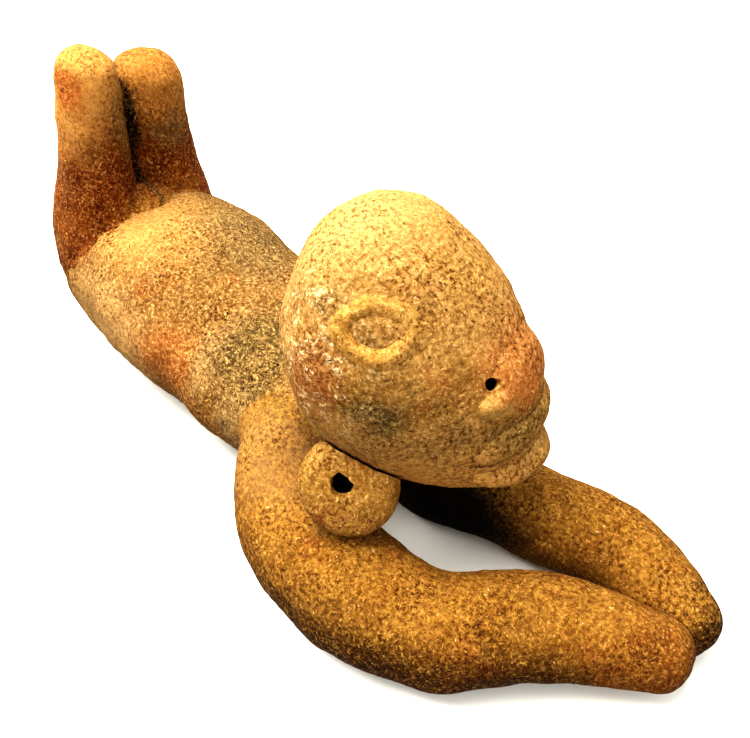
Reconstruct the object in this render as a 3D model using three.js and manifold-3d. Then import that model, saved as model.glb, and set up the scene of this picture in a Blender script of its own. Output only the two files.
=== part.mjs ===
// A terracotta figure that lies face down, hand built and fired: a hollow trunk and a hollow head
// joined by a neck collar, two rolled arms that close in front of the chest, two lower legs raised
// from the knees, and the small pieces pressed on to the head. It rests on belly, knees and arms.
// Millimetres; +X towards the hands, +Y to the figure's left, +Z up.
import * as THREE from "three";
import { mergeVertices } from "three/addons/utils/BufferGeometryUtils.js";
import Module from "manifold-3d";

const wasm = await Module();
wasm.setup();
const v3 = (x, y, z) => new THREE.Vector3(x, y, z);
const upward = v3(0, 0, 1);

// Clay
const joint = 0.3; // line of the luted joint between two pieces
const wall = 9; // thickness of the shell of the trunk and the head
const pressed = 2.5; // depth by which the wet clay flattened where it lies on the table

// Trunk, half widths and half heights of its sections from the knees to the shoulders
const trunkLength = 178;
const shoulderX = 16;
const knee = { width: 52, height: 42 };
const hip = { width: 57, height: 47, share: 0.22 };
const waist = { width: 55, height: 39, share: 0.56 };
const chest = { width: 50.5, height: 34, share: 0.84, aside: -1.5 };
const shoulder = { width: 42, height: 33, aside: -4 };
const trunkEnd = 0.72; // roundness of the two ends

// Lower legs
const legGap = 43; // from the middle of one leg to the middle of the other
const footGap = 33;
const feetAside = 6; // lean of the feet to the figure's left
const calf = { width: 26, depth: 27.5 };
const shin = { width: 23.5, depth: 25.5 };
const ankle = { width: 17.5, depth: 20 };
const foot = { width: 16.5, depth: 18.5 };
const rightFootHeight = 159;
const leftFootHeight = 147;

// Arms, half widths and half heights
const upperArm = { width: 21.5, height: 26 };
const elbow = { width: 24.5, height: 24 };
const forearm = { width: 23.8, height: 22 };
const wrist = { width: 21.5, height: 20 };
const hand = { width: 20.5, height: 21 };
const fingertips = { width: 16.5, height: 17 };
const armReach = 176; // from the root of an arm to its last section
const rightElbowOut = 62; // from the middle line to the middle of the bent right elbow
const leftElbowOut = 12; // the left arm runs nearly straight under the head
const handsAside = 13; // from the middle line to the line where the hands meet
const rightWristLift = 3.5; // the right wrist stands a little clear of the table
const rightHandLift = 3;

// Neck
const neckRadius = 27;
const neckBore = 15;
const neckRise = 50; // degrees above the table

// Head, an egg whose long axis runs from the crown down to the mouth, its face side hollowed
const headMiddle = v3(56.5, -4.5, 100);
const headHalf = { along: 66, across: 50, thick: 50 };
const headPitch = 55; // degrees by which the long axis falls towards the mouth
const headTurn = 15; // degrees by which the face is turned to the figure's left
const headNarrowing = 0.22;
const faceHollow = 12.5;
const headFullness = 1.8; // exponent of the section curve; 2 is an ellipse

// Pieces pressed on the head
const noseHalf = { along: 16, across: 21, out: 10 };
const noseSunk = 6.2; // how deep the middle of the lump lies in the head
const nostrilWing = 6;
const nostrilRadius = 2.3;
const upperLip = { width: 9, out: 4.6 };
const lowerLip = { width: 6.8, out: 6.2 };
const eyeRing = { length: 0.255, height: 0.14, radius: 2.7 };
const eyePellet = { length: 8.6, height: 4.6, out: 2.4 };
const spool = { radius: 20.5, half: 10, edge: 7 };
const spoolHole = 3.6;
const spoolHoleShift = 6; // the hole is pierced behind the middle of the disc

// A closed tube of oval sections through stations [x, y, z, half width, half height]. A section's
// height follows reference. grow makes the tube fatter all round, for the cut of a joint.
function tube(stations, { rings = 18, sides = 20, reference = upward, round = 0.85, grow = 0 }) {
  const line = new THREE.CatmullRomCurve3(
    stations.map((s) => v3(s[0], s[1], s[2])),
    false,
    "centripetal",
  );
  const sizes = new THREE.CatmullRomCurve3(
    stations.map((s) => v3(s[3], s[4], 0)),
    false,
    "centripetal",
  );
  const capRings = 5;
  const frameAt = (t) => {
    const along = line.getTangent(t);
    const side = reference.clone().cross(along).normalize();
    return { centre: line.getPoint(t), size: sizes.getPoint(t), along, side, up: along.clone().cross(side) };
  };
  const loops = [];
  const addLoop = (frame, shift, scale) => {
    const middle = frame.centre.clone().addScaledVector(frame.along, shift);
    const loop = [];
    for (let i = 0; i < sides; i++) {
      const angle = (2 * Math.PI * i) / sides;
      const across = (frame.size.x + grow) * scale * Math.cos(angle);
      const above = (frame.size.y + grow) * scale * Math.sin(angle);
      loop.push(middle.clone().addScaledVector(frame.side, across).addScaledVector(frame.up, above));
    }
    loops.push(loop);
  };
  const cap = (frame, direction) => {
    const reach = round * Math.min(frame.size.x, frame.size.y) + grow;
    const steps = [];
    for (let i = 1; i < capRings; i++) {
      const angle = (Math.PI / 2) * (i / capRings);
      steps.push([direction * reach * Math.sin(angle), Math.cos(angle)]);
    }
    return { steps, tip: frame.centre.clone().addScaledVector(frame.along, direction * reach) };
  };
  const first = frameAt(0);
  const last = frameAt(1);
  const rear = cap(first, -1);
  const front = cap(last, 1);
  rear.steps.reverse().forEach(([shift, scale]) => addLoop(first, shift, scale));
  for (let i = 0; i <= rings; i++) addLoop(frameAt(i / rings), 0, 1);
  front.steps.forEach(([shift, scale]) => addLoop(last, shift, scale));
  return closed(loops, rear.tip, front.tip);
}

// Loops of points joined into one closed surface, with a point at each end
function closed(loops, rearTip, frontTip) {
  const sides = loops[0].length;
  const points = [...loops.flat(), rearTip, frontTip];
  const rearIndex = points.length - 2;
  const frontIndex = points.length - 1;
  const at = (ring, i) => ring * sides + (i % sides);
  const faces = [];
  for (let i = 0; i < sides; i++) {
    faces.push(rearIndex, at(0, i + 1), at(0, i));
    for (let ring = 0; ring + 1 < loops.length; ring++) {
      faces.push(at(ring, i), at(ring, i + 1), at(ring + 1, i + 1));
      faces.push(at(ring, i), at(ring + 1, i + 1), at(ring + 1, i));
    }
    faces.push(frontIndex, at(loops.length - 1, i), at(loops.length - 1, i + 1));
  }
  const geometry = new THREE.BufferGeometry().setFromPoints(points);
  geometry.setIndex(faces);
  return geometry;
}

function solid(geometry) {
  const bare = geometry.clone();
  bare.deleteAttribute("normal");
  bare.deleteAttribute("uv");
  const merged = mergeVertices(bare, 1e-4);
  return new wasm.Manifold(
    new wasm.Mesh({
      numProp: 3,
      vertProperties: merged.attributes.position.array,
      triVerts: new Uint32Array(merged.index.array),
    }),
  );
}

// A round bar from one point to another
function bar(from, to, radius, sides = 28) {
  const length = from.distanceTo(to);
  const geometry = new THREE.CylinderGeometry(radius, radius, length, sides);
  const turn = new THREE.Quaternion().setFromUnitVectors(v3(0, 1, 0), to.clone().sub(from).normalize());
  geometry.applyQuaternion(turn);
  const middle = from.clone().add(to).multiplyScalar(0.5);
  return solid(geometry.translate(middle.x, middle.y, middle.z));
}

// An oval lump whose three half sizes lie along, across and out
function lump(middle, half, along, out) {
  const geometry = new THREE.SphereGeometry(1, 18, 12);
  geometry.scale(half.along, half.across, half.out);
  const across = out.clone().cross(along).normalize();
  const straight = across.clone().cross(out);
  geometry.applyMatrix4(new THREE.Matrix4().makeBasis(straight, across, out));
  return solid(geometry.translate(middle.x, middle.y, middle.z));
}

// Trunk
const rearX = shoulderX - trunkLength;
function trunk(grow, detail = { rings: 18, sides: 32 }) {
  const sections = [
    { ...knee, share: 0 },
    hip,
    waist,
    chest,
    { ...shoulder, share: 1 },
  ];
  const stations = sections.map((s) => [
    rearX + s.share * trunkLength,
    s.aside ?? 0,
    s.height - pressed,
    s.width,
    s.height,
  ]);
  return solid(tube(stations, { ...detail, grow, round: trunkEnd }));
}

// Lower legs
const legX = rearX - 5;
function lowerLeg(side, grow = 0) {
  const y = (side * legGap) / 2;
  const footY = (side * footGap) / 2 + feetAside;
  const top = side < 0 ? rightFootHeight : leftFootHeight;
  const stations = [
    [legX, y, knee.height, calf.width, calf.depth],
    [legX - 1, y + side, top * 0.47, shin.width, shin.depth],
    [legX + 6, (y + footY) / 2, top * 0.72, ankle.width, ankle.depth],
    [legX + 14, footY, top, foot.width, foot.depth],
  ];
  return solid(tube(stations, { reference: v3(1, 0, 0), grow, round: 0.8 }));
}

// Arms. The root lies inside the shoulder, the fingertips beside the middle line.
const armRootX = shoulderX - 7;
function arm(side, grow = 0) {
  const x = (share) => armRootX + share * armReach;
  const rootY = shoulder.aside + side * (shoulder.width - 12);
  const lying = (share, y, size, lift = 0) => [x(share), y, size.height - pressed + lift, size.width, size.height];
  const root = [x(0), rootY, shoulder.height + 2, upperArm.width, upperArm.height];
  if (side < 0) {
    return solid(
      tube(
        [
          root,
          lying(0.155, -rightElbowOut + 6, elbow),
          lying(0.38, -rightElbowOut + 0.5, { width: elbow.width + 2.5, height: elbow.height }),
          lying(0.6, -rightElbowOut + 10, forearm),
          lying(0.8, handsAside - wrist.width - 8, wrist, rightWristLift),
          lying(1, handsAside - fingertips.width + 8, fingertips, rightHandLift),
        ],
        { grow },
      ),
    );
  }
  return solid(
    tube(
      [
        root,
        lying(0.3, leftElbowOut, elbow),
        lying(0.5, leftElbowOut + 12.5, wrist),
        lying(0.63, handsAside + hand.width - 5, hand),
        lying(0.78, handsAside + hand.width + 1.5, hand),
        lying(0.89, handsAside + hand.width - 1, { width: 19, height: 19.5 }),
        lying(1, handsAside + fingertips.width - 4, fingertips),
      ],
      { grow },
    ),
  );
}

// Head. spot gives the point of its skin in the direction (along, across, out of the face) from
// the head's middle, and the way out of the skin there.
const pitch = THREE.MathUtils.degToRad(headPitch);
const turned = (v) => v.applyAxisAngle(upward, THREE.MathUtils.degToRad(headTurn));
function skin(direction, grow) {
  const total = [direction.x, direction.y, direction.z].reduce((sum, k) => sum + Math.abs(k) ** headFullness, 0);
  const u = direction.clone().divideScalar(total ** (1 / headFullness));
  const along = u.x * (headHalf.along + grow);
  const across = u.y * (headHalf.across + grow) * (1 - headNarrowing * u.x);
  const thick = u.z * (headHalf.thick + grow) + faceHollow * u.x * u.x;
  return turned(v3(along, across, thick).applyAxisAngle(v3(0, 1, 0), pitch)).add(headMiddle);
}
function spot(along, across, out) {
  const direction = v3(along, across, out).normalize();
  const step = 0.01;
  const one = v3(0, 0, 1).cross(direction).normalize();
  const two = direction.clone().cross(one);
  const point = skin(direction, 0);
  const a = skin(direction.clone().addScaledVector(one, step).normalize(), 0).sub(point);
  const b = skin(direction.clone().addScaledVector(two, step).normalize(), 0).sub(point);
  return { point, normal: a.cross(b).normalize() };
}
function egg(grow, columns = 36, rows = 24) {
  const ball = new THREE.SphereGeometry(1, columns, rows).rotateX(Math.PI / 2);
  const p = ball.attributes.position;
  for (let i = 0; i < p.count; i++) {
    const at = skin(v3(p.getX(i), p.getY(i), p.getZ(i)), grow);
    p.setXYZ(i, at.x, at.y, at.z);
  }
  return solid(ball);
}

// A roll of clay pressed on the head along a row of spots
function roll(spots, size, sink, grow = 0) {
  const reference = spot(...spots[(spots.length - 1) / 2]).normal;
  const stations = spots.map((s) => {
    const { point, normal } = spot(...s);
    const middle = point.addScaledVector(normal, -sink);
    return [middle.x, middle.y, middle.z, size.width, size.out];
  });
  return solid(tube(stations, { rings: 12, sides: 10, reference, grow }));
}
const bothSides = (half) => [...half, ...half.slice(0, -1).reverse().map(([a, b, c]) => [a, -b, c])];

const faceSlope = turned(v3(Math.cos(pitch), 0, -Math.sin(pitch)));
function nose(grow = 0) {
  const bridge = spot(0.27, 0, 0.96);
  const half = { along: noseHalf.along + grow, across: noseHalf.across + grow, out: noseHalf.out + grow };
  let shape = lump(bridge.point.addScaledVector(bridge.normal, -noseSunk), half, faceSlope, bridge.normal);
  for (const side of [-1, 1]) {
    const wing = spot(0.28, side * 0.36, 0.88);
    const size = nostrilWing + grow;
    const middle = wing.point.addScaledVector(wing.normal, -nostrilWing * 0.6);
    shape = shape.add(lump(middle, { along: size, across: size, out: size }, faceSlope, wing.normal));
  }
  return shape;
}
function nostril(side) {
  const hole = spot(0.15, side * 0.4, 0.91);
  const outer = hole.point.clone().addScaledVector(hole.normal, noseHalf.out);
  return bar(outer, hole.point.clone().addScaledVector(hole.normal, -wall * 2), nostrilRadius, 14);
}

const rightEye = v3(-0.47, -0.7, 0.53).normalize();
const leftEye = v3(-0.38, 0.86, 0.33).normalize(); // a little further round than the right one
const eyeLong = v3(0.42, 0.33, 0.85).normalize();
const eyeHigh = v3(-0.72, 0.66, 0.22).normalize();
const mirrored = (v, side) => v3(v.x, -side * v.y, v.z);
function eyeRim(side) {
  const middle = side < 0 ? rightEye : leftEye;
  const points = [];
  const steps = 24;
  for (let i = 0; i < steps; i++) {
    const angle = (2 * Math.PI * i) / steps;
    const d = middle.clone().addScaledVector(mirrored(eyeLong, side), eyeRing.length * Math.cos(angle));
    d.addScaledVector(mirrored(eyeHigh, side), eyeRing.height * Math.sin(angle));
    points.push(spot(d.x, d.y, d.z).point);
  }
  const ring = new THREE.CatmullRomCurve3(points, true);
  return solid(new THREE.TubeGeometry(ring, 28, eyeRing.radius, 7, true));
}
function eyeball(side) {
  const middle = side < 0 ? rightEye : leftEye;
  const { point, normal } = spot(middle.x, middle.y, middle.z);
  const end = middle.clone().addScaledVector(mirrored(eyeLong, side), eyeRing.length);
  const along = spot(end.x, end.y, end.z).point.sub(point).normalize();
  const half = { along: eyePellet.length, across: eyePellet.height, out: eyePellet.out };
  return lump(point, half, along, normal);
}

// Ear spool, a thick disc with rounded edges, seen nearly face on
function earSpool(side) {
  const face = turned(v3(0.46, side * 0.69, 0.56)).normalize();
  const middle = turned(v3(-1, side * headHalf.across * 0.88, -headHalf.thick * 0.73)).add(headMiddle);
  const profile = [new THREE.Vector2(0, -spool.half)];
  const steps = 6;
  for (let i = 0; i <= steps; i++) {
    const angle = -Math.PI / 2 + (Math.PI * i) / steps;
    const flat = spool.radius - spool.edge;
    profile.push(new THREE.Vector2(flat + spool.edge * Math.cos(angle), spool.half * Math.sin(angle)));
  }
  profile.push(new THREE.Vector2(0, spool.half));
  const disc = new THREE.LatheGeometry(profile, 28);
  disc.applyQuaternion(new THREE.Quaternion().setFromUnitVectors(v3(0, 1, 0), face));
  disc.translate(middle.x, middle.y, middle.z);
  const back = v3(-face.z, 0, face.x).normalize();
  const pierced = middle.clone().addScaledVector(back, spoolHoleShift);
  const front = pierced.clone().addScaledVector(face, spool.half * 2);
  const hole = bar(pierced.clone().addScaledVector(face, -spool.half * 2), front, spoolHole, 16);
  return solid(disc).subtract(hole);
}

// Whole pieces, each cut back by the joint from what it was pressed against
const table = solid(new THREE.BoxGeometry(1200, 1200, 200).translate(0, 0, -100));
const neckWay = v3(Math.cos(THREE.MathUtils.degToRad(neckRise)), 0, Math.sin(THREE.MathUtils.degToRad(neckRise)));
const neckFoot = v3(shoulderX - 2, 0, shoulder.height);
const neckTop = neckFoot.clone().addScaledVector(neckWay, shoulder.height + headHalf.thick * 0.8);
const neckHole = bar(neckFoot, neckTop, neckBore);
const neckRing = (grow) => bar(neckFoot, neckTop, neckRadius + grow);
const trunkSkin = trunk(joint);
const headSkin = egg(joint);
const arms = { right: arm(-1), left: arm(1) };
const onHead = (shape) => shape.subtract(headSkin);
const mouthUpper = bothSides([
  [0.57, -0.56, 0.61],
  [0.55, -0.41, 0.73],
  [0.54, -0.21, 0.82],
  [0.55, 0, 0.84],
]);
const mouthLower = bothSides([
  [0.76, -0.57, 0.3],
  [0.84, -0.44, 0.32],
  [0.87, -0.28, 0.4],
  [0.85, 0, 0.53],
]);

const pieces = {
  trunk: trunk(0)
    .subtract(headSkin)
    .subtract(trunk(-wall, { rings: 10, sides: 16 }))
    .subtract(neckHole),
  right_lower_leg: lowerLeg(-1).subtract(trunkSkin),
  left_lower_leg: lowerLeg(1).subtract(trunkSkin).subtract(lowerLeg(-1, joint)),
  right_arm: arms.right.subtract(trunkSkin).subtract(headSkin),
  left_arm: arms.left.subtract(trunkSkin).subtract(headSkin).subtract(arm(-1, joint)),
  neck: neckRing(0)
    .subtract(neckHole)
    .subtract(trunkSkin)
    .subtract(headSkin)
    .subtract(arm(-1, joint))
    .subtract(arm(1, joint)),
  head: egg(0).subtract(egg(-wall, 18, 12)).subtract(neckHole).subtract(nostril(-1)).subtract(nostril(1)),
  nose: onHead(nose()).subtract(nostril(-1)).subtract(nostril(1)),
  upper_lip: onHead(roll(mouthUpper, upperLip, 1.6)).subtract(nose(joint)),
  lower_lip: onHead(roll(mouthLower, lowerLip, 2.6)).subtract(roll(mouthUpper, upperLip, 1.6, joint)),
  right_eye_rim: onHead(eyeRim(-1)),
  left_eye_rim: onHead(eyeRim(1)),
  right_eye: onHead(eyeball(-1)),
  left_eye: onHead(eyeball(1)),
  right_ear_spool: onHead(earSpool(-1)).subtract(trunkSkin).subtract(neckRing(joint)).subtract(arm(-1, joint)),
  left_ear_spool: onHead(earSpool(1)).subtract(trunkSkin).subtract(neckRing(joint)).subtract(arm(1, joint)),
};

// Fired clay as the photo shows it: buff where dusty, red where rubbed, grey where smoked
const buff = { color: 0xb98a4a, roughness: 0.95 };
const clay = {
  trunk: { color: 0x9c7138, roughness: 0.93 },
  right_lower_leg: { color: 0xa5662a, roughness: 0.85 },
  left_lower_leg: { color: 0xa5662a, roughness: 0.85 },
  right_arm: { color: 0xa86f2e, roughness: 0.9 },
  left_arm: { color: 0xa46a2c, roughness: 0.9 },
  neck: { color: 0x5e4a2c, roughness: 0.95 },
  nose: { color: 0xc0713a, roughness: 0.8 },
  upper_lip: { color: 0x9c8a5e, roughness: 0.93 },
  lower_lip: { color: 0xa8803f, roughness: 0.93 },
};

const figure = new THREE.Group();
figure.name = "terracotta_figure";
const made = Object.entries(pieces).map(([name, shape]) => [name, shape.subtract(table)]);
const boxes = made.map(([, shape]) => shape.boundingBox());
const reach = (axis, pick) => pick(...boxes.flatMap((box) => [box.min[axis], box.max[axis]]));
const shift = [0, 1].map((axis) => -(reach(axis, Math.min) + reach(axis, Math.max)) / 2);
for (const [name, shape] of made) {
  const { vertProperties, triVerts } = shape.translate(shift[0], shift[1], 0).getMesh();
  const geometry = new THREE.BufferGeometry();
  geometry.setAttribute("position", new THREE.BufferAttribute(vertProperties, 3));
  geometry.setIndex(new THREE.BufferAttribute(triVerts, 1));
  geometry.computeVertexNormals();
  const { color, roughness } = clay[name] ?? buff;
  const mesh = new THREE.Mesh(geometry, new THREE.MeshStandardMaterial({ color, roughness, metalness: 0 }));
  mesh.name = name;
  figure.add(mesh);
}

export default figure;
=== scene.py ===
import math

import bmesh
import bpy
from mathutils import Matrix, Vector
from mathutils.bvhtree import BVHTree


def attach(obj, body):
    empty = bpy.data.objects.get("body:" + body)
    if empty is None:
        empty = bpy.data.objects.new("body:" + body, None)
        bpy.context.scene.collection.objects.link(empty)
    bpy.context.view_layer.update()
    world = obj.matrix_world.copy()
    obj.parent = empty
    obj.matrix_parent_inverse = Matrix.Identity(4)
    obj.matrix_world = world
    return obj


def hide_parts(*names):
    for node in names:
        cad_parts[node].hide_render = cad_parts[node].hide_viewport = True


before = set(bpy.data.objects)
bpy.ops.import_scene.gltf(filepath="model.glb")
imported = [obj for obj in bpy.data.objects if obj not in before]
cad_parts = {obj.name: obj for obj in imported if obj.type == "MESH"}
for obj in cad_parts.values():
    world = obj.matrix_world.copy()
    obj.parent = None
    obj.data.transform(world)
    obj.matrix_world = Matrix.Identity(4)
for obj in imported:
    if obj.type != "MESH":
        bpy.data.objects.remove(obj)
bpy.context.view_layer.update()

# A hand-built, low-fired clay figure that lies on its belly with its head up, its arms closed in
# a loop in front and its lower legs raised. Metres; +X towards the hands, +Y to its left, +Z up.

# Camera. A normal lens held 30 cm above the table, in front of the figure's right shoulder and
# looking down over it along the body.
camera_at = Vector((0.20847, -0.16179, 0.300))
camera_way = Vector((-0.5255, 0.5255, -0.6691))
bpy.ops.object.camera_add(
    location=camera_at, rotation=camera_way.to_track_quat("-Z", "Y").to_euler()
)
camera = bpy.context.object
camera.data.sensor_width = 36
camera.data.lens = 36.48
bpy.context.scene.camera = camera

# Floor and light. A plain white table top that runs out of sight, one wide soft light high up
# beyond the figure's feet, and a pale surrounding that is darker below and fills the shadows.


def linear(hex_colour):
    """A written sRGB colour as the linear one that the nodes take."""
    shares = [int(hex_colour[i : i + 2], 16) / 255 for i in (0, 2, 4)]
    return [c / 12.92 if c <= 0.04045 else ((c + 0.055) / 1.055) ** 2.4 for c in shares] + [1]


def add_node(tree, kind, settings=None, **links):
    """Adds a node; settings are its own, links are values or sockets for its inputs by name."""
    node = tree.nodes.new(kind)
    for name, value in (settings or {}).items():
        setattr(node, name, value)
    for name, value in links.items():
        key = int(name[1:]) if name[0] == "_" else name.replace("_", " ")
        if isinstance(value, bpy.types.NodeSocket):
            tree.links.new(value, node.inputs[key])
        else:
            node.inputs[key].default_value = value
    return node


bpy.ops.mesh.primitive_plane_add(size=8)
table_top = bpy.context.object
table_top.name = "table_top"
# matt white paint, a little warm
paint = bpy.data.materials.new("matt_white_table_paint")
paint.use_nodes = True
coat = paint.node_tree.nodes["Principled BSDF"]
coat.inputs["Base Color"].default_value = linear("F4F4F0")
coat.inputs["Roughness"].default_value = 0.7
table_top.data.materials.append(paint)
table_top.visible_diffuse = False  # the white table doesn't brighten the undersides

lamp_at = Vector((-0.46, -0.2, 1.35))
bpy.ops.object.light_add(type="AREA", location=lamp_at)
lamp = bpy.context.object
lamp.name = "soft_window"
lamp.rotation_euler = (-lamp_at).to_track_quat("-Z", "Y").to_euler()
lamp.data.shape = "RECTANGLE"
lamp.data.size = 1.2
lamp.data.size_y = 1.2
lamp.data.energy = 48
lamp.data.color = (1.0, 0.97, 0.9)

surrounding = bpy.data.worlds.new("pale_studio")
bpy.context.scene.world = surrounding
surrounding.use_nodes = True
sky = surrounding.node_tree
height_share = add_node(
    sky, "ShaderNodeSeparateXYZ", Vector=add_node(sky, "ShaderNodeTexCoord").outputs["Generated"]
).outputs["Z"]
shade = add_node(
    sky,
    "ShaderNodeMapRange",
    Value=height_share,
    From_Min=-0.05,
    From_Max=0.15,
    To_Min=0.34,
    To_Max=1.2,
)
sky.links.new(shade.outputs["Result"], sky.nodes["Background"].inputs["Strength"])
sky.nodes["Background"].inputs["Color"].default_value = linear("FFFDF8")
bpy.context.scene.view_settings.view_transform = "Standard"
bpy.context.scene.view_settings.look = "High Contrast"

# Head. A hollow egg of clay closed over a wad of dry leaves, set aslant on the neck with its chin
# clear of the arms: the crown is round, the brow slopes and the face runs down to a blunt jaw. It
# was shaped first here, and everything that it rests on gives way to it.
MM = 0.001
GRAIN = 1.0 * MM  # mesh width of the clay skin
FINE_GRAIN = 0.7 * MM  # the same for the small pieces of the face
HOLE_GRAIN = 0.5 * MM  # the same for what a stick leaves in the clay
JOINT = 0.2 * MM  # air left between two luted pieces


def only(*pieces):
    """Nothing else is selected, and the first one is active."""
    bpy.ops.object.select_all(action="DESELECT")
    for piece in pieces:
        piece.select_set(True)
    bpy.context.view_layer.objects.active = pieces[0]


def finished_with(piece, kind, **settings):
    """Adds a modifier with its settings and applies it."""
    modifier = piece.modifiers.new(kind.title(), kind)
    for name, value in settings.items():
        setattr(modifier, name, value)
    only(piece)
    bpy.ops.object.modifier_apply(modifier=modifier.name)
    return piece


def copy_of(piece):
    only(piece)
    bpy.ops.object.duplicate()
    return bpy.context.object


def oval(middle, half, along, out):
    """An egg-shaped lump of clay: half sizes in mm along, across and out."""
    out = Vector(out).normalized()
    across = out.cross(Vector(along)).normalized()
    square = Matrix((across.cross(out), across, out)).transposed()
    bpy.ops.object.select_all(action="DESELECT")
    bpy.ops.mesh.primitive_uv_sphere_add(
        segments=32,
        ring_count=20,
        radius=MM,
        location=Vector(middle) * MM,
        rotation=square.to_euler(),
    )
    piece = bpy.context.object
    piece.scale = half
    bpy.ops.object.transform_apply()
    return piece


def clay_roll(rings, upright=(0, 0, 1), sides=24, blunt=0.85):
    """A roll of clay through oval rings: middle x, y, z, half width and half height in mm.

    Each ring is a circle set square to the run of the roll, bridged to the one before it; its
    height is measured the upright way. Both ends are closed by three smaller rings and bulge by
    the share blunt of their smaller half size.
    """
    upright = Vector(upright)
    proud = 6 / (4 + 2 * math.cos(2 * math.pi / sides))  # the smoothed skin lies inside its cage
    middles = [Vector(ring[:3]) * MM for ring in rings]
    last = len(rings) - 1
    ways = [
        (middles[min(i + 1, last)] - middles[max(i - 1, 0)]).normalized() for i in range(last + 1)
    ]
    places = [(m, w, r[3] * MM, r[4] * MM) for m, w, r in zip(middles, ways, rings)]

    def rounding(place, sense):
        middle, way, wide, high = place
        reach = blunt * min(wide, high) * sense
        turns = [math.radians(degrees) for degrees in (32, 58, 78)]
        return [
            (middle + way * reach * math.sin(a), way, wide * math.cos(a), high * math.cos(a))
            for a in turns
        ]

    places = rounding(places[0], -1)[::-1] + places + rounding(places[-1], 1)
    bpy.ops.object.select_all(action="DESELECT")
    bpy.ops.object.add(type="MESH", enter_editmode=True)
    piece = bpy.context.object
    for i, (middle, way, wide, high) in enumerate(places):
        side = upright.cross(way).normalized()
        square = Matrix((side, way.cross(side), way)).transposed()
        bpy.ops.mesh.select_all(action="DESELECT")
        bpy.ops.mesh.primitive_circle_add(
            vertices=sides, radius=high * proud, location=middle, rotation=square.to_euler()
        )
        bpy.ops.transform.resize(
            value=(wide / high, 1, 1),
            orient_matrix=square,
            orient_matrix_type="GLOBAL",
            center_override=middle,
        )
        if i in (0, len(places) - 1):
            bpy.ops.mesh.edge_face_add()
        if i:
            shape = bmesh.from_edit_mesh(piece.data)
            for face in shape.faces:
                face.select_set(False)
            for edge in shape.edges:
                edge.select_set(all(v.index >= (i - 1) * sides for v in edge.verts))
            bpy.ops.mesh.bridge_edge_loops()
    bpy.ops.mesh.select_all(action="SELECT")
    bpy.ops.mesh.normals_make_consistent(inside=False)
    bpy.ops.object.mode_set(mode="OBJECT")
    return finished_with(piece, "SUBSURF", levels=2, render_levels=2)


def clouds(name, size):
    """Soft lumps about that many millimetres wide, different along the three axes."""
    texture = bpy.data.textures.new(name, "CLOUDS")
    texture.cloud_type = "COLOR"
    texture.noise_scale = size * MM
    texture.noise_depth = 1
    return texture


palm_dents = clouds("palm_dents", 32)
thumb_marks = clouds("thumb_marks", 11)
grit = clouds("grit", 3)
sand = clouds("sand", 1.3)


def lumpy(piece, texture, depth, **more):
    """Moves the skin by the texture's lumps; depth is in mm from the lowest to the highest."""
    finished_with(
        piece,
        "DISPLACE",
        texture=texture,
        texture_coords="GLOBAL",
        direction="RGB_TO_XYZ",
        strength=depth * MM,
        mid_level=0.5,
        **more,
    )


def pressed(piece, palm=3.6, thumb=1.2, rough=0.55, sandy=0.3, grain=GRAIN):
    """Remeshes the piece evenly, and moves its skin by the lumps left by hand, in mm."""
    finished_with(piece, "REMESH", mode="VOXEL", voxel_size=grain)
    lumpy(piece, palm_dents, palm)
    lumpy(piece, thumb_marks, thumb)
    lumpy(piece, grit, rough)
    lumpy(piece, sand, sandy)
    return piece


def cut_by(piece, cutter, joint=JOINT):
    """Takes the cutter's space, and a joint's width more, out of the piece."""
    tool = copy_of(cutter)
    if joint:
        finished_with(tool, "DISPLACE", strength=joint, mid_level=0)
    finished_with(piece, "BOOLEAN", operation="DIFFERENCE", object=tool, solver="MANIFOLD")
    bpy.data.objects.remove(tool)
    return piece


def carved(piece, tool):
    """Takes the tool's own space out of the piece, and puts the tool away."""
    cut_by(piece, tool, 0)
    bpy.data.objects.remove(tool)


# Low-fired terracotta: an open body of coarse sandy clay, fired in the smoke of an open fire. It
# is matt and orange brown, buff where a dusting lies and where painted light falls on what faces
# the lamp, grey green where it was smoked, and full of pale and dark grains; painted shade makes
# each pierced hole and some given places black.
SMOKED = "665530"
REDDENED = "8A461A"
DARK_GRAIN = "7C502A"
QUARTZ = "E8C88C"
LIME = "EFD8A8"
PIT = "1E0E05"
# black for painted shade, inside pierced holes and in deeply shaded places
PAINTED_SHADE_BLACK = "0A0502"


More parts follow.
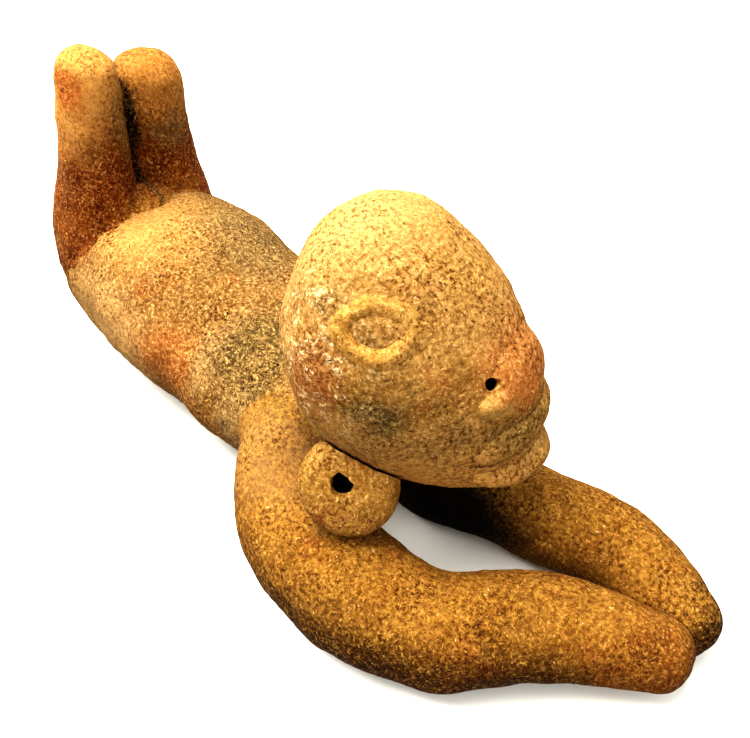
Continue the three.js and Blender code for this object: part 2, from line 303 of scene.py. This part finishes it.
def fired_clay(
    name,
    base,
    second,
    patches=(),
    shaded_holes=(),
    lime=None,
    painted_shade_zones=(),
    dust_and_light_colour="B8925A",
    pale="E0BA78",
    dust_and_light_strength=1.0,
    shine=0.0,
):
    """The clay of one piece or of a group of them.

    base and second are the two colours of the body, dust_and_light_colour and pale those of the
    dusting with painted light on what faces the lamp and of the pale grains.
    dust_and_light_strength is the strength of that layer, and shine is taken off the roughness.
    Places are in mm: patches are middle and half sizes with colour and strength; shaded_holes are
    the middle and radius of balls painted black as shade in and round a pierced hole; lime is the
    middle and half sizes of the part with whitish strokes; painted_shade_zones has the same two for
    each place where the grains are painted black as shade too.
    """
    material = bpy.data.materials.new(name)
    material.use_nodes = True
    tree = material.node_tree
    shader = tree.nodes["Principled BSDF"]
    place = add_node(tree, "ShaderNodeTexCoord").outputs["Object"]

    def noise(size, detail=2.0, roughness=0.5, vector=place):
        """Noise whose lumps are about that many millimetres wide."""
        return add_node(
            tree,
            "ShaderNodeTexNoise",
            Vector=vector,
            Scale=1 / (size * MM),
            Detail=detail,
            Roughness=roughness,
        )

    def ranged(value, low, high, to_low=0.0, to_high=1.0):
        return add_node(
            tree,
            "ShaderNodeMapRange",
            {"interpolation_type": "SMOOTHSTEP"},
            Value=value,
            From_Min=low,
            From_Max=high,
            To_Min=to_low,
            To_Max=to_high,
        ).outputs["Result"]

    def maths(operation, one, two):
        return add_node(tree, "ShaderNodeMath", {"operation": operation}, _0=one, _1=two).outputs[0]

    def vectors(operation, one, two, three=(0, 0, 0)):
        settings = {"operation": operation}
        return add_node(tree, "ShaderNodeVectorMath", settings, _0=one, _1=two, _2=three)

    def blended(share, under, over, kind="MIX"):
        settings = {"data_type": "RGBA", "blend_type": kind}
        return add_node(tree, "ShaderNodeMix", settings, _0=share, _6=under, _7=over).outputs[2]

    # a place read off up to this far aside, which makes the edges of the zones ragged
    stir = 14 * MM
    swirl = noise(13, 3).outputs["Color"]
    stirred = vectors("MULTIPLY_ADD", swirl, (stir, stir, stir), place).outputs[0]

    def zone(middle, half):
        """One within 0.4 of the half sizes of a ragged oval, nothing beyond 1.2 of them."""
        centre = [m * MM + stir / 2 for m in middle]
        offset = vectors("SUBTRACT", stirred, centre).outputs[0]
        share = vectors("DIVIDE", offset, [h * MM for h in half]).outputs[0]
        return ranged(vectors("LENGTH", share, (0, 0, 0)).outputs["Value"], 1.2, 0.4)

    # broad clouds of the firing, then the patches that the photo shows, among them painted light
    # and painted shade
    fired = ranged(noise(26, 5, 0.66).outputs[0], 0.38, 0.62)
    clay = blended(fired, linear(base), linear(second))
    smoked = ranged(noise(17, 5, 0.66).outputs[0], 0.56, 0.7, 0.0, 0.5)
    clay = blended(smoked, clay, linear(SMOKED))
    reddened = ranged(noise(21, 5, 0.66).outputs[0], 0.54, 0.68, 0.0, 0.5)
    clay = blended(reddened, clay, linear(REDDENED))
    for middle, half, colour, strength in patches:
        clay = blended(maths("MULTIPLY", zone(middle, half), strength), clay, linear(colour))

    # dusting and wear, with painted light, on what faces the lamp: up and a little more
    # towards the feet and the right side
    normal = add_node(tree, "ShaderNodeNewGeometry").outputs["Normal"]
    facing_lamp = vectors("DOT_PRODUCT", normal, (-0.3, -0.15, 0.94)).outputs["Value"]
    grains = noise(1.8, 6, 0.8).outputs[0]
    flecks = noise(1.3, 4, 0.76, stirred).outputs[0]
    towards_lamp = ranged(facing_lamp, 0.0, 1.0)
    drifts = ranged(noise(15, 5, 0.65).outputs[0], 0.36, 0.6, 0.35, 1.0)
    dust_and_painted_light = maths("MULTIPLY", towards_lamp, drifts)
    dust_and_painted_light = maths("MULTIPLY", dust_and_painted_light, ranged(grains, 0.36, 0.62, 0.35, 1.0))
    clay = blended(maths("MULTIPLY", dust_and_painted_light, dust_and_light_strength), clay, linear(dust_and_light_colour))

    # sand: dark and pale grains of all sizes up to a few millimetres, with no edge between them
    coarse = ranged(noise(28, 4, 0.6).outputs[0], 0.4, 0.62, 0.45, 1.0)
    dark = maths("MULTIPLY", ranged(grains, 0.53, 0.38), coarse)
    clay = blended(dark, clay, linear(DARK_GRAIN), "MULTIPLY")
    clay = blended(ranged(grains, 0.5, 0.74, 0.0, 0.75), clay, linear(pale))
    clay = blended(ranged(flecks, 0.56, 0.66, 0.0, 0.8), clay, linear(pale))

    # single grains of quartz, strokes of lime, and the pits that lost grains left
    cells = add_node(tree, "ShaderNodeTexVoronoi", Vector=stirred, Scale=1 / (1.7 * MM))
    pick = add_node(tree, "ShaderNodeSeparateColor", Color=cells.outputs["Color"])
    quartz = maths(
        "MULTIPLY",
        ranged(cells.outputs["Distance"], 0.3, 0.16),
        ranged(pick.outputs[0], 0.95, 0.98),
    )
    clay = blended(maths("MULTIPLY", quartz, 0.5), clay, linear(QUARTZ))
    if lime:
        strokes = ranged(noise(2.2, 6, 0.82, stirred).outputs[0], 0.53, 0.56)
        breaks = ranged(noise(6, 3).outputs[0], 0.46, 0.56)
        thin = maths("MULTIPLY", strokes, breaks)
        limed = maths("MULTIPLY", maths("MULTIPLY", zone(*lime), thin), 0.8)
        clay = blended(limed, clay, linear(LIME))
    pits = maths(
        "MULTIPLY",
        ranged(cells.outputs["Distance"], 0.36, 0.1),
        ranged(pick.outputs[1], 0.05, 0.03),
    )
    clay = blended(maths("MULTIPLY", pits, 0.8), clay, linear(PIT))
    # painted shade: black over the given shaded places, grains too, and in and round each pierced
    # hole
    for middle, half in painted_shade_zones:
        clay = blended(maths("MULTIPLY", zone(middle, half), 0.95), clay, linear(PAINTED_SHADE_BLACK))
    for middle, radius in shaded_holes:
        offset = vectors("DISTANCE", place, [m * MM for m in middle]).outputs["Value"]
        clay = blended(ranged(offset, radius * MM, (radius - 0.5) * MM), clay, linear(PAINTED_SHADE_BLACK))
    tree.links.new(clay, shader.inputs["Base Color"])

    # the grains stand proud and are a little less rough, the pits are sunk
    height = maths("ADD", maths("MULTIPLY", grains, 1.2), maths("MULTIPLY", flecks, 0.6))
    height = maths("ADD", height, maths("MULTIPLY", pits, -0.5))
    bump = add_node(tree, "ShaderNodeBump", Height=height, Strength=0.8, Distance=0.8 * MM)
    tree.links.new(bump.outputs[0], shader.inputs["Normal"])
    rough = ranged(grains, 0.3, 0.7, 0.98 - shine, 0.82 - shine)
    tree.links.new(rough, shader.inputs["Roughness"])
    shader.inputs["IOR"].default_value = 1.45
    shader.inputs["Specular IOR Level"].default_value = 0.1
    return material


def handed_over(piece, node, material):
    """The clay, smooth shading, and the piece's place in the model."""
    piece.name = piece.data.name = "clay_" + node
    piece.data.materials.clear()
    piece.data.materials.append(material)
    only(piece)
    bpy.ops.object.shade_smooth_by_angle(angle=math.radians(50))
    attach(piece, "root")
    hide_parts(node)


head_middle = Vector((54.0, 11.2, 100.0)) * MM
head_half = (66, 50, 50)  # in mm along the face, across it and through it
ASIDE = math.radians(15)  # the face looks to the figure's left by this angle
DOWNWARD = math.radians(55)  # and runs down to the jaw by this one
head_turn = Matrix.Rotation(ASIDE, 3, "Z") @ Matrix.Rotation(DOWNWARD, 3, "Y")
NARROWING = 0.22  # the jaw is narrower than the crown by this share
BEND = 12.5  # mm that the two ends of the egg bend towards the face
FULLNESS = 1.8  # exponent of the section curve; 2 is an ellipse
bpy.ops.object.select_all(action="DESELECT")
bpy.ops.mesh.primitive_uv_sphere_add(segments=64, ring_count=48, radius=1)
head = bpy.context.object
for vert in head.data.vertices:
    shares = vert.co.normalized()
    shares /= sum(abs(s) ** FULLNESS for s in shares) ** (1 / FULLNESS)
    vert.co = (
        shares.x * head_half[0],
        shares.y * head_half[1] * (1 - NARROWING * shares.x),
        shares.z * head_half[2] + BEND * shares.x**2,
    )
    vert.co = head_turn @ vert.co * MM + head_middle
pressed(head)

# the nostrils were pierced with a tapered stick, the mouth was drawn with it, and the eyes are
# shallow hollows
NOSTRIL_SUNK = 5  # mm from the skin to the middle of the stick
nostrils = []
for middle, way in (
    ((99.0, 4.5, 117.5), (0.890, -0.240, 0.388)),
    ((89.5, 39.8, 117.5), (0.647, 0.654, 0.391)),
):
    way = Vector(way)
    bpy.ops.mesh.primitive_cone_add(
        vertices=24,
        radius1=1.8 * MM,
        radius2=3.0 * MM,
        depth=30 * MM,
        location=Vector(middle) * MM - way * NOSTRIL_SUNK * MM,
        rotation=way.to_track_quat("Z", "Y").to_euler(),
    )
    nostril = bpy.context.object
    bpy.ops.object.transform_apply()
    nostrils.append(pressed(nostril, palm=4.0, thumb=1.5, rough=1.2, grain=HOLE_GRAIN))
mouth = clay_roll(
    [
        (101.0, -3.2, 80.6, 0.9, 2.4),
        (104.8, 2.2, 80.8, 1.4, 4.6),
        (108.2, 8.5, 82.3, 1.7, 5.4),
        (110.2, 15.0, 84.0, 1.8, 5.6),
        (110.6, 22.0, 85.0, 1.8, 5.6),
        (109.0, 29.0, 85.0, 1.8, 5.6),
        (104.8, 35.0, 84.0, 1.8, 5.6),
        (99.4, 40.0, 82.3, 1.7, 5.4),
        (93.4, 43.4, 80.9, 1.4, 4.6),
        (88.0, 46.0, 80.6, 0.9, 2.4),
    ],
    upright=(0.95, 0.28, 0.1),
    sides=12,
)
# the middle of each eye in mm, the way along it and the way out of the face
eyes = {
    "right": ((69.3, -22.0, 139.6), (0.708, 0.696, -0.119), (0.559, -0.602, 0.570)),
    "left": ((43.1, 54.3, 129.8), (0.990, -0.143, 0.004), (0.018, 0.910, 0.415)),
}
socket_half = (12.5, 8.2, 1.0)
for middle, along, out in eyes.values():
    carved(head, oval(middle, socket_half, along, out))
for hollow in (mouth, *nostrils):
    cut_by(head, hollow, 0)
head_clay = fired_clay(
    "low_fired_terracotta_head",
    "926A30",
    "A87E46",
    [
        ((62, 22, 152), (45, 40, 20), "9C7434", 0.5),
        ((32, 2, 160), (30, 34, 16), "C2A468", 0.7),
        ((103, 24, 120), (24, 30, 20), "B0622A", 0.6),
        # painted highlight on the right wing of the nose
        ((100, 6, 109), (9, 12, 7), "C49C58", 0.8),
        ((53, -40, 119), (15, 12, 24), "8C4A20", 0.7),
        ((75, -31, 107), (21, 12, 14), "4A4022", 0.75),
        ((53, -30, 149), (10, 9, 8), "604824", 0.65),
        ((69, -22, 138), (11, 10, 8), "7E5624", 0.5),
        ((107, 14, 95), (9, 22, 8), "6E5A2C", 0.6),
        # painted light on the jaw
        ((90, 2, 68), (32, 42, 28), "C69450", 0.9),
        # painted light on the right cheek
        ((66, -36, 94), (22, 18, 18), "AC8048", 0.7),
    ],
    # painted shade, black in and round the two nostrils
    shaded_holes=(((96.0, 5.3, 116.2), 5.0), ((87.3, 37.6, 116.2), 5.0)),
    lime=((48, -36, 126), (34, 20, 46)),
)
handed_over(head, "head", head_clay)

# Trunk. One tapered tube of coarse clay from the knees to the shoulders, thighs and hips in one
# with it, pinched and paddled by hand; its belly is flat where it lay wet on a board.


def pushed(piece, at, way, wide):
    """Moves the skin at a place by a way in mm; the skin as far as wide follows less and less."""
    at = Vector(at) * MM
    nearest = min(piece.data.vertices, key=lambda v: (v.co - at).length_squared).index
    only(piece)
    bpy.ops.object.mode_set(mode="EDIT")
    bpy.ops.mesh.select_all(action="DESELECT")
    shape = bmesh.from_edit_mesh(piece.data)
    shape.verts.ensure_lookup_table()
    shape.verts[nearest].select_set(True)
    bpy.ops.transform.translate(
        value=Vector(way) * MM,
        use_proportional_edit=True,
        proportional_edit_falloff="SMOOTH",
        proportional_size=wide * MM,
    )
    bpy.ops.object.mode_set(mode="OBJECT")


def set_down(piece):
    """Cuts the piece flat at the table."""
    bpy.ops.object.select_all(action="DESELECT")
    bpy.ops.mesh.primitive_cube_add(size=1, location=(0, 0, -0.5))
    carved(piece, bpy.context.object)


def in_one(piece):
    """Keeps only the largest of the loose parts of a mesh."""
    only(piece)
    bpy.ops.object.mode_set(mode="EDIT")
    bpy.ops.mesh.select_all(action="SELECT")
    bpy.ops.mesh.separate(type="LOOSE")
    bpy.ops.object.mode_set(mode="OBJECT")
    parts = sorted(bpy.context.selected_objects, key=lambda part: len(part.data.vertices))
    whole = parts.pop()
    for part in parts:
        bpy.data.objects.remove(part)
    return whole


trunk = clay_roll(
    [
        (-164.5, 15.7, 39.5, 52.0, 42.0),
        (-139.3, 15.7, 44.3, 56.3, 47.1),
        (-113.6, 15.7, 44.7, 57.5, 47.0),
        (-88.3, 15.9, 40.0, 56.4, 42.4),
        (-63.0, 15.8, 36.1, 55.0, 38.6),
        (-37.5, 15.2, 33.5, 53.0, 36.0),
        (-12.0, 14.3, 31.0, 51.0, 33.3),
        (13.5, 11.7, 30.5, 42.0, 33.0),
    ],
    sides=32,
    blunt=0.72,
)
# pushed in by the hand at the right hip and at the right side of the waist
pushed(trunk, (-133, -41, 45), (0, 3, 0), 26)
pushed(trunk, (-62, -38, 30), (0, 4, -1), 30)
set_down(pressed(trunk))
cut_by(trunk, head)
trunk = in_one(trunk)
trunk_clay = fired_clay(
    "low_fired_terracotta_trunk",
    "684418",
    "765020",
    [
        ((-128, -4, 92), (44, 50, 24), "B88A4C", 0.9),
        ((-118, -46, 50), (60, 24, 40), "B08A58", 0.8),
        ((-84, 40, 80), (46, 32, 26), "5E4E30", 0.8),
        ((-64, -34, 50), (26, 26, 22), "8E4E1A", 0.75),
        ((-43, -20, 60), (12, 34, 26), "7C6644", 0.7),
        ((-24, -7, 64), (24, 46, 26), "3E3214", 1.0),
        ((-14, -34, 42), (14, 20, 20), "86704C", 0.6),
        ((-176, 64, 52), (36, 26, 46), "6A3410", 0.8),
        ((-196, 12, 48), (16, 60, 44), "6A3410", 0.7),
    ],
    dust_and_light_strength=0.4,
)
handed_over(trunk, "trunk", trunk_clay)

# Lower legs. Two thick rolls raised from the knees, a little narrower at the ankles, with blunt
# stumps for feet; luted on behind the thighs, where the seam was left rough and an open crack
# runs between them, its dark painted in as black shade.
crumbs = clouds("crumbs", 4.5)


def joined(*pieces):
    only(*pieces)
    bpy.ops.object.join()
    return bpy.context.object


def near(piece, other):
    """A copy of the part of another piece that lies round this one."""
    margin = 22 * MM
    corners = [[v.co[i] for v in piece.data.vertices] for i in range(3)]
    low = Vector([min(c) - margin for c in corners])
    high = Vector([max(c) + margin for c in corners])
    bpy.ops.object.select_all(action="DESELECT")
    bpy.ops.mesh.primitive_cube_add(size=1, location=(low + high) / 2)
    block = bpy.context.object
    block.scale = high - low
    bpy.ops.object.transform_apply()
    part = copy_of(other)
    finished_with(part, "BOOLEAN", operation="INTERSECT", object=block, solver="MANIFOLD")
    bpy.data.objects.remove(block)
    return part


def lute(piece, onto, smear, strokes, crumbly=0.0, grain=GRAIN):
    """Presses a piece on to the others, smears the clay along the join, and parts them again.

    smear is the reach in mm, strokes the number of smoothing passes and crumbly the roughness that
    is left at the join. What is left of the piece is one solid a joint's width off the others.
    """
    whole = joined(copy_of(piece), *(near(piece, other) for other in onto))
    finished_with(whole, "REMESH", mode="VOXEL", voxel_size=grain)
    graph = bpy.context.evaluated_depsgraph_get()
    own_skin = BVHTree.FromObject(piece, graph)
    skins = [BVHTree.FromObject(other, graph) for other in onto]
    group = whole.vertex_groups.new(name="smeared")
    reach = smear * MM
    for vert in whole.data.vertices:
        own = own_skin.find_nearest(vert.co, reach)[3]
        if own is None:
            continue
        others = [skin.find_nearest(vert.co, reach)[3] for skin in skins]
        others = [distance for distance in others if distance is not None]
        if others:
            group.add([vert.index], 1 - max(own, min(others)) / reach, "REPLACE")
    finished_with(whole, "SMOOTH", factor=0.5, iterations=strokes, vertex_group="smeared")
    if crumbly:
        lumpy(whole, crumbs, crumbly, vertex_group="smeared")
    for other in onto:
        cut_by(whole, other)
    bpy.data.objects.remove(piece)
    return in_one(whole)


lower_legs = []
leg_clay = fired_clay(
    "low_fired_terracotta_legs",
    "642A00",
    "743A06",
    [
        ((-154, -16, 156), (46, 24, 40), "D29A54", 0.8),
        ((-150, 6, 162), (46, 22, 30), "C89450", 0.75),
        ((-150, 38, 150), (44, 30, 28), "AC7A3A", 0.8),
        ((-143, 10, 134), (12, 9, 26), "6E5C30", 0.6),
        ((-144, 34, 124), (14, 16, 12), "6C5830", 0.6),
        ((-130, 20, 90), (16, 36, 8), "8C6428", 0.7),
        ((-150, -14, 156), (20, 10, 14), "A04A14", 0.7),
        # painted shade: a thin black sheet in the crack between the legs
        ((-154, 17, 112), (34, 3, 80), "100602", 1.0),
        ((-172, 10, 40), (34, 70, 24), "6E4A1A", 0.75),
    ],
    dust_and_light_colour="A8743A",
    pale="DCA860",
    dust_and_light_strength=0.5,
    shine=0.12,
)
for side, rings in (
    (
        "right",
        [
            (-169.5, -5.8, 42.0, 26.0, 27.5),
            (-166.5, -7.7, 65.8, 24.5, 31.4),
            (-165.4, -5.3, 89.5, 21.4, 27.4),
            (-164.0, -0.6, 112.3, 17.2, 19.6),
            (-160.6, 1.2, 135.7, 16.8, 18.8),
            (-157.0, 3.4, 159.0, 15.0, 17.0),
        ],
    ),
    (
        "left",
        [
            (-169.5, 37.2, 42.0, 26.0, 27.5),
            (-166.0, 38.3, 63.3, 24.4, 32.0),
            (-163.5, 37.4, 84.4, 21.6, 28.3),
            (-163.6, 35.4, 105.1, 18.8, 20.0),
            (-160.4, 34.6, 126.1, 19.8, 20.2),
            (-157.0, 34.6, 147.0, 19.4, 20.2),
        ],
    ),
):
    leg = clay_roll(rings, upright=(1, 0, 0), blunt=0.8)
    if side == "left":
        # a wad of clay that fills the gap between the knees
        wad = oval((-144, 15, 85), (15, 12, 11), (1, 0, 0), (0.2, 0, 1))
        leg = joined(leg, wad)
    leg = lute(pressed(leg), [trunk, *lower_legs], smear=9, strokes=24, crumbly=2.6)
    lower_legs.append(leg)
    handed_over(leg, side + "_lower_leg", leg_clay)

# Arms. Two thick rolls let into the shoulders; the right one bends round on the table, the left
# one runs almost straight under the head, and the mitten hands are pressed together in front. The
# shoulder joins were smeared until they vanished.
arms = []
arm_clay = fired_clay(
    "low_fired_terracotta_arms",
    "6E4614",
    "7C521C",
    [
        ((18, -34, 46), (40, 28, 28), "A8865A", 0.5),
        ((5, -16, 60), (18, 16, 20), "64532A", 0.5),
        # painted shade, with darker clay, along the bottom of the right arm's outer edge and
        # forearm
        ((110, -72, 4), (112, 34, 46), "2E1200", 1.0),
        ((150, -30, 4), (52, 36, 34), "301300", 1.0),
        ((188, 18, 24), (26, 20, 24), "6A3410", 0.6),
        ((200, 44, 12), (32, 30, 32), "301402", 1.0),
        ((120, 46, 34), (26, 16, 14), "5C3C14", 0.5),
        # painted shade: black on the inner side of the left arm, in the head's shade
        ((68, 14, 18), (56, 28, 40), "060301", 1.0),
    ],
    dust_and_light_colour="9C7434",
    pale="CC9C50",
    dust_and_light_strength=0.7,
    # the same painted shade, over the pale grains there too
    painted_shade_zones=[((80, 12, 24), (48, 20, 32))],
)
for side, rings in (
    (
        "right",
        [
            (6.5, -18.3, 35.0, 21.5, 26.0),
            (20.1, -31.7, 26.5, 23.1, 24.7),
            (36.8, -43.1, 19.4, 24.8, 23.7),
            (58.3, -46.1, 21.3, 26.5, 24.1),
            (79.1, -45.9, 21.7, 27.5, 24.0),
            (99.9, -42.6, 19.8, 24.9, 22.7),
            (119.2, -33.2, 19.3, 23.3, 21.6),
            (132.2, -16.4, 20.6, 22.5, 20.9),
            (145.9, -0.4, 21.5, 21.9, 20.2),
            (164.2, 10.2, 19.7, 19.2, 18.5),
            (182.5, 20.2, 17.5, 16.5, 17.0),
        ],
    ),
    (
        "left",
        [
            (6.5, 41.7, 35.0, 21.5, 26.0),
            (23.6, 36.3, 30.4, 22.6, 25.4),
            (40.3, 30.2, 25.7, 23.8, 24.8),
            (58.4, 26.1, 21.4, 24.8, 24.4),
            (76.2, 31.7, 18.8, 23.8, 21.9),
            (92.4, 41.1, 17.1, 21.3, 19.3),
            (111.2, 42.5, 18.3, 20.6, 21.0),
            (128.9, 47.5, 18.8, 20.4, 21.1),
            (147.1, 52.3, 18.6, 20.7, 21.2),
            (165.5, 48.1, 16.9, 18.8, 19.3),
            (182.5, 41.2, 14.5, 16.5, 17.0),
        ],
    ),
):
    arm = lute(pressed(clay_roll(rings)), [trunk], smear=16, strokes=180)
    set_down(arm)
    for other in (head, *arms):
        cut_by(arm, other)
    arm = in_one(arm)
    arms.append(arm)
    handed_over(arm, side + "_arm", arm_clay)

# Neck. A short thick ring of the trunk's clay, luted on to the shoulders to carry the head; it is
# out of sight from the front and is left whole here, without its bore.
neck_foot = Vector((11.5, 15.7, 33.0)) * MM
neck_way = Vector((0.643, 0, 0.766))
neck_length = 73 * MM
neck_radius = 27 * MM
bpy.ops.object.select_all(action="DESELECT")
bpy.ops.mesh.primitive_cylinder_add(
    vertices=40,
    radius=neck_radius,
    depth=neck_length,
    location=neck_foot + neck_way * neck_length / 2,
    rotation=neck_way.to_track_quat("Z", "Y").to_euler(),
)
neck = bpy.context.object
bpy.ops.object.transform_apply()
pressed(neck)
for piece in (trunk, head, *arms):
    cut_by(neck, piece)
neck = in_one(neck)
handed_over(neck, "neck", trunk_clay)

# Nose. A low broad lump of the same clay, like a snout, with a small round wing on each side below
# the pierced nostril; its upper edge was smeared into the brow, its lower edge overhangs the lip.
face_slope = (0.554, 0.148, -0.819)  # the way down the face
nose = oval((96.0, 22.3, 110.0), (19, 21, 9.8), face_slope, (0.869, 0.249, 0.427))
pressed(nose, grain=FINE_GRAIN)
nose = lute(nose, [head], smear=12, strokes=160, grain=FINE_GRAIN)
wings = joined(
    oval((100.8, 6.0, 110.2), (5.0, 8.6, 6.2), face_slope, (0.916, -0.218, 0.336)),
    oval((90.8, 37.6, 108.6), (5.0, 8.6, 6.0), face_slope, (0.681, 0.649, 0.339)),
)
pressed(wings, grain=FINE_GRAIN)
nose = lute(joined(nose, wings), [head], smear=4, strokes=10, grain=FINE_GRAIN)
for nostril in nostrils:
    carved(nose, nostril)
nose = in_one(nose)
handed_over(nose, "nose", head_clay)

# Lips. Two flattened rolls of clay pressed on round the jaw; the upper one is tucked in under the
# nose and the mouth is the groove left between the two.
upper_lip = clay_roll(
    [
        (102.6, 0.4, 86.0, 5.6, 3.8),
        (105.4, 6.4, 89.4, 7.6, 5.0),
        (106.9, 12.7, 91.6, 8.0, 5.0),
        (107.4, 18.9, 92.8, 8.0, 5.0),
        (106.8, 25.3, 92.6, 8.0, 5.0),
        (104.1, 31.1, 92.8, 8.0, 5.0),
        (100.5, 36.3, 91.6, 8.0, 5.0),
        (96.2, 40.9, 89.4, 7.6, 5.0),
        (91.2, 45.0, 86.0, 5.6, 3.8),
    ],
    upright=(0.922, 0.265, 0.283),
    sides=16,
)
pressed(upper_lip, grain=FINE_GRAIN)
upper_lip = lute(upper_lip, [head, nose], smear=2.5, strokes=8, grain=FINE_GRAIN)
upper_lip = in_one(cut_by(upper_lip, mouth, 0))
handed_over(upper_lip, "upper_lip", head_clay)
lower_lip = clay_roll(
    [
        (100.8, 2.1, 73.4, 5.4, 4.8),
        (104.4, 7.6, 70.9, 6.2, 6.4),
        (107.6, 13.6, 70.9, 6.6, 7.2),
        (109.4, 19.6, 73.1, 7.0, 7.6),
        (109.6, 25.8, 75.3, 7.0, 7.6),
        (106.3, 31.0, 73.0, 7.0, 7.6),
        (101.6, 35.4, 70.9, 6.6, 7.2),
        (95.9, 39.1, 70.9, 6.2, 6.4),
        (90.0, 42.5, 73.4, 5.4, 4.4),
    ],
    upright=(0.958, 0.280, -0.055),
    sides=16,
)
pressed(lower_lip, grain=FINE_GRAIN)
lower_lip = lute(lower_lip, [head], smear=2.5, strokes=8, grain=FINE_GRAIN)
cut_by(lower_lip, upper_lip)
lower_lip = in_one(cut_by(lower_lip, mouth, 0))
bpy.data.objects.remove(mouth)
handed_over(lower_lip, "lower_lip", head_clay)

# Eyes. A thin roll of clay laid round each hollow in the shape of an almond, with its ends joined
# at the outer corner, and a flat pellet in the middle for the eyeball.
eye_clay = fired_clay(
    "low_fired_terracotta_eye_rims", "A07434", "B0864A", dust_and_light_colour="C8A058", pale="E0BC78"
)
almonds = {
    "right": [
        (58.8, -29.6, 139.2),
        (60.8, -24.9, 143.6),
        (64.7, -19.0, 146.4),
        (72.6, -13.5, 143.9),
        (77.3, -12.6, 139.5),
        (77.4, -18.2, 134.4),
        (74.4, -24.5, 130.9),
        (68.2, -28.4, 132.6),
        (61.8, -30.6, 135.6),
    ],
    "left": [
        (28.3, 52.8, 126.9),
        (33.4, 51.6, 133.4),
        (40.1, 50.4, 137.1),
        (49.9, 50.6, 135.7),
        (54.6, 51.9, 131.4),
        (51.9, 55.3, 125.2),
        (46.1, 57.6, 120.5),
        (38.6, 57.1, 121.5),
        (32.0, 55.0, 123.9),
    ],
}
SPREAD = 1.06  # the roll lies this much outside the almond
rim_half = (3.0, 1.45)
pellet_half = (10.4, 6.2, 2.2)
PELLET_SUNK = 1.6  # mm from the middle of the eye in to the middle of the pellet
for side, (middle, along, out) in eyes.items():
    line = almonds[side] + almonds[side][:1]
    line = [Vector(middle) + (Vector(point) - Vector(middle)) * SPREAD for point in line]
    rim = clay_roll([(*point, *rim_half) for point in line], upright=out, sides=12, blunt=0.5)
    pressed(rim, grain=FINE_GRAIN)
    rim = lute(rim, [head], smear=4.5, strokes=60, grain=FINE_GRAIN)
    handed_over(rim, side + "_eye_rim", eye_clay)
    inner = Vector(middle) - Vector(out) * PELLET_SUNK
    pellet = pressed(oval(inner, pellet_half, along, out), grain=FINE_GRAIN)
    pellet = lute(pellet, [head], smear=2.5, strokes=30, grain=FINE_GRAIN)
    cut_by(pellet, rim)
    pellet = in_one(pellet)
    handed_over(pellet, side + "_eye", head_clay)

# Ear spools. Two thick discs of clay like buns, set on behind the jaw and pierced off centre while
# they were wet; the right one has a small nick under the hole.
spool_radius = 20.5 * MM
spool_half = 10 * MM  # half the thickness
spool_round = 6.8 * MM  # how far the edges are rounded off
end_rim = 6 * MM  # width of the ring round the flat middle of each end
end_shift = 1.2 * MM  # how far that middle is moved along its normal
spool_off_head = 1.2 * MM  # air left between the spool and the head
hole_back, hole_aside = 3.0, 1.3  # mm that the hole lies off the middle
STICK_SLANT = 0.2  # of its length that the stick leaned over
hole_shade_radius = 5.2  # mm, radius of the painted shade in and round the hole


def select_ends(piece):
    """Selects the two flat ends of a disc, in edit mode."""
    bpy.ops.mesh.select_all(action="DESELECT")
    shape = bmesh.from_edit_mesh(piece.data)
    for end in shape.faces:
        end.select_set(len(end.verts) > 4)


# the middle of each spool in mm, the way out of its face and the way to its back edge
for side, middle, face, back in (
    ("right", (64.4, -31.5, 63.5), (0.623, -0.547, 0.560), (-0.669, 0, 0.744)),
    ("left", (41.6, 53.5, 63.5), (0.266, 0.785, 0.560), (-0.903, 0, 0.429)),
):
    middle = Vector(middle) * MM
    face = Vector(face)
    back = Vector(back)
    hole = middle + (back * hole_back + face.cross(back) * hole_aside) * MM
    turn = face.to_track_quat("Z", "Y").to_euler()
    bpy.ops.object.select_all(action="DESELECT")
    bpy.ops.mesh.primitive_cylinder_add(
        vertices=48, radius=spool_radius, depth=spool_half * 2, location=middle, rotation=turn
    )
    spool = bpy.context.object
    bpy.ops.object.transform_apply()
    bpy.ops.object.mode_set(mode="EDIT")
    select_ends(spool)
    bpy.ops.mesh.region_to_loop()
    bpy.ops.mesh.bevel(offset=spool_round, segments=6)
    select_ends(spool)
    bpy.ops.mesh.inset(thickness=end_rim)
    bpy.ops.transform.shrink_fatten(value=end_shift)
    bpy.ops.object.mode_set(mode="OBJECT")
    pressed(spool, palm=3, thumb=0.8, grain=FINE_GRAIN)
    # the stick was pointed, pushed in at a slant and wriggled, which left the mouth wide and ragged
    slant = (face - back * STICK_SLANT).normalized()
    bpy.ops.object.select_all(action="DESELECT")
    bpy.ops.mesh.primitive_cone_add(
        vertices=24,
        radius1=1.9 * MM,
        radius2=4.4 * MM,
        depth=24 * MM,
        location=hole + face * spool_half - slant * spool_half,
        rotation=slant.to_track_quat("Z", "Y").to_euler(),
    )
    stick = bpy.context.object
    bpy.ops.object.transform_apply()
    way_in = (hole + face * spool_half) / MM
    ragged = oval(way_in + back * 0.9, (5.0, 4.2, 4.0), back, face)
    stick = joined(stick, ragged)
    pressed(stick, thumb=1.5, rough=2.4, grain=HOLE_GRAIN)
    carved(spool, stick)
    if side == "right":
        nick = oval((72.2, -40.8, 66.4), (0.7, 2.2, 1.6), (0.7, 0.7, 0), face)
        carved(spool, nick)
    cut_by(spool, head, spool_off_head)
    for other in (neck, trunk, *arms):
        cut_by(spool, other)
    spool = in_one(spool)
    # three balls of painted shade in a row along the hole
    hole_shade = [((hole + face * depth * MM) / MM, hole_shade_radius) for depth in (4.5, 0, -6)]
    spool_clay = fired_clay(
        "low_fired_terracotta_ear_spool_" + side,
        "8E6428",
        "9C7236",
        shaded_holes=hole_shade,
        dust_and_light_colour="B08A48",
        dust_and_light_strength=0.8,
    )
    handed_over(spool, side + "_ear_spool", spool_clay)
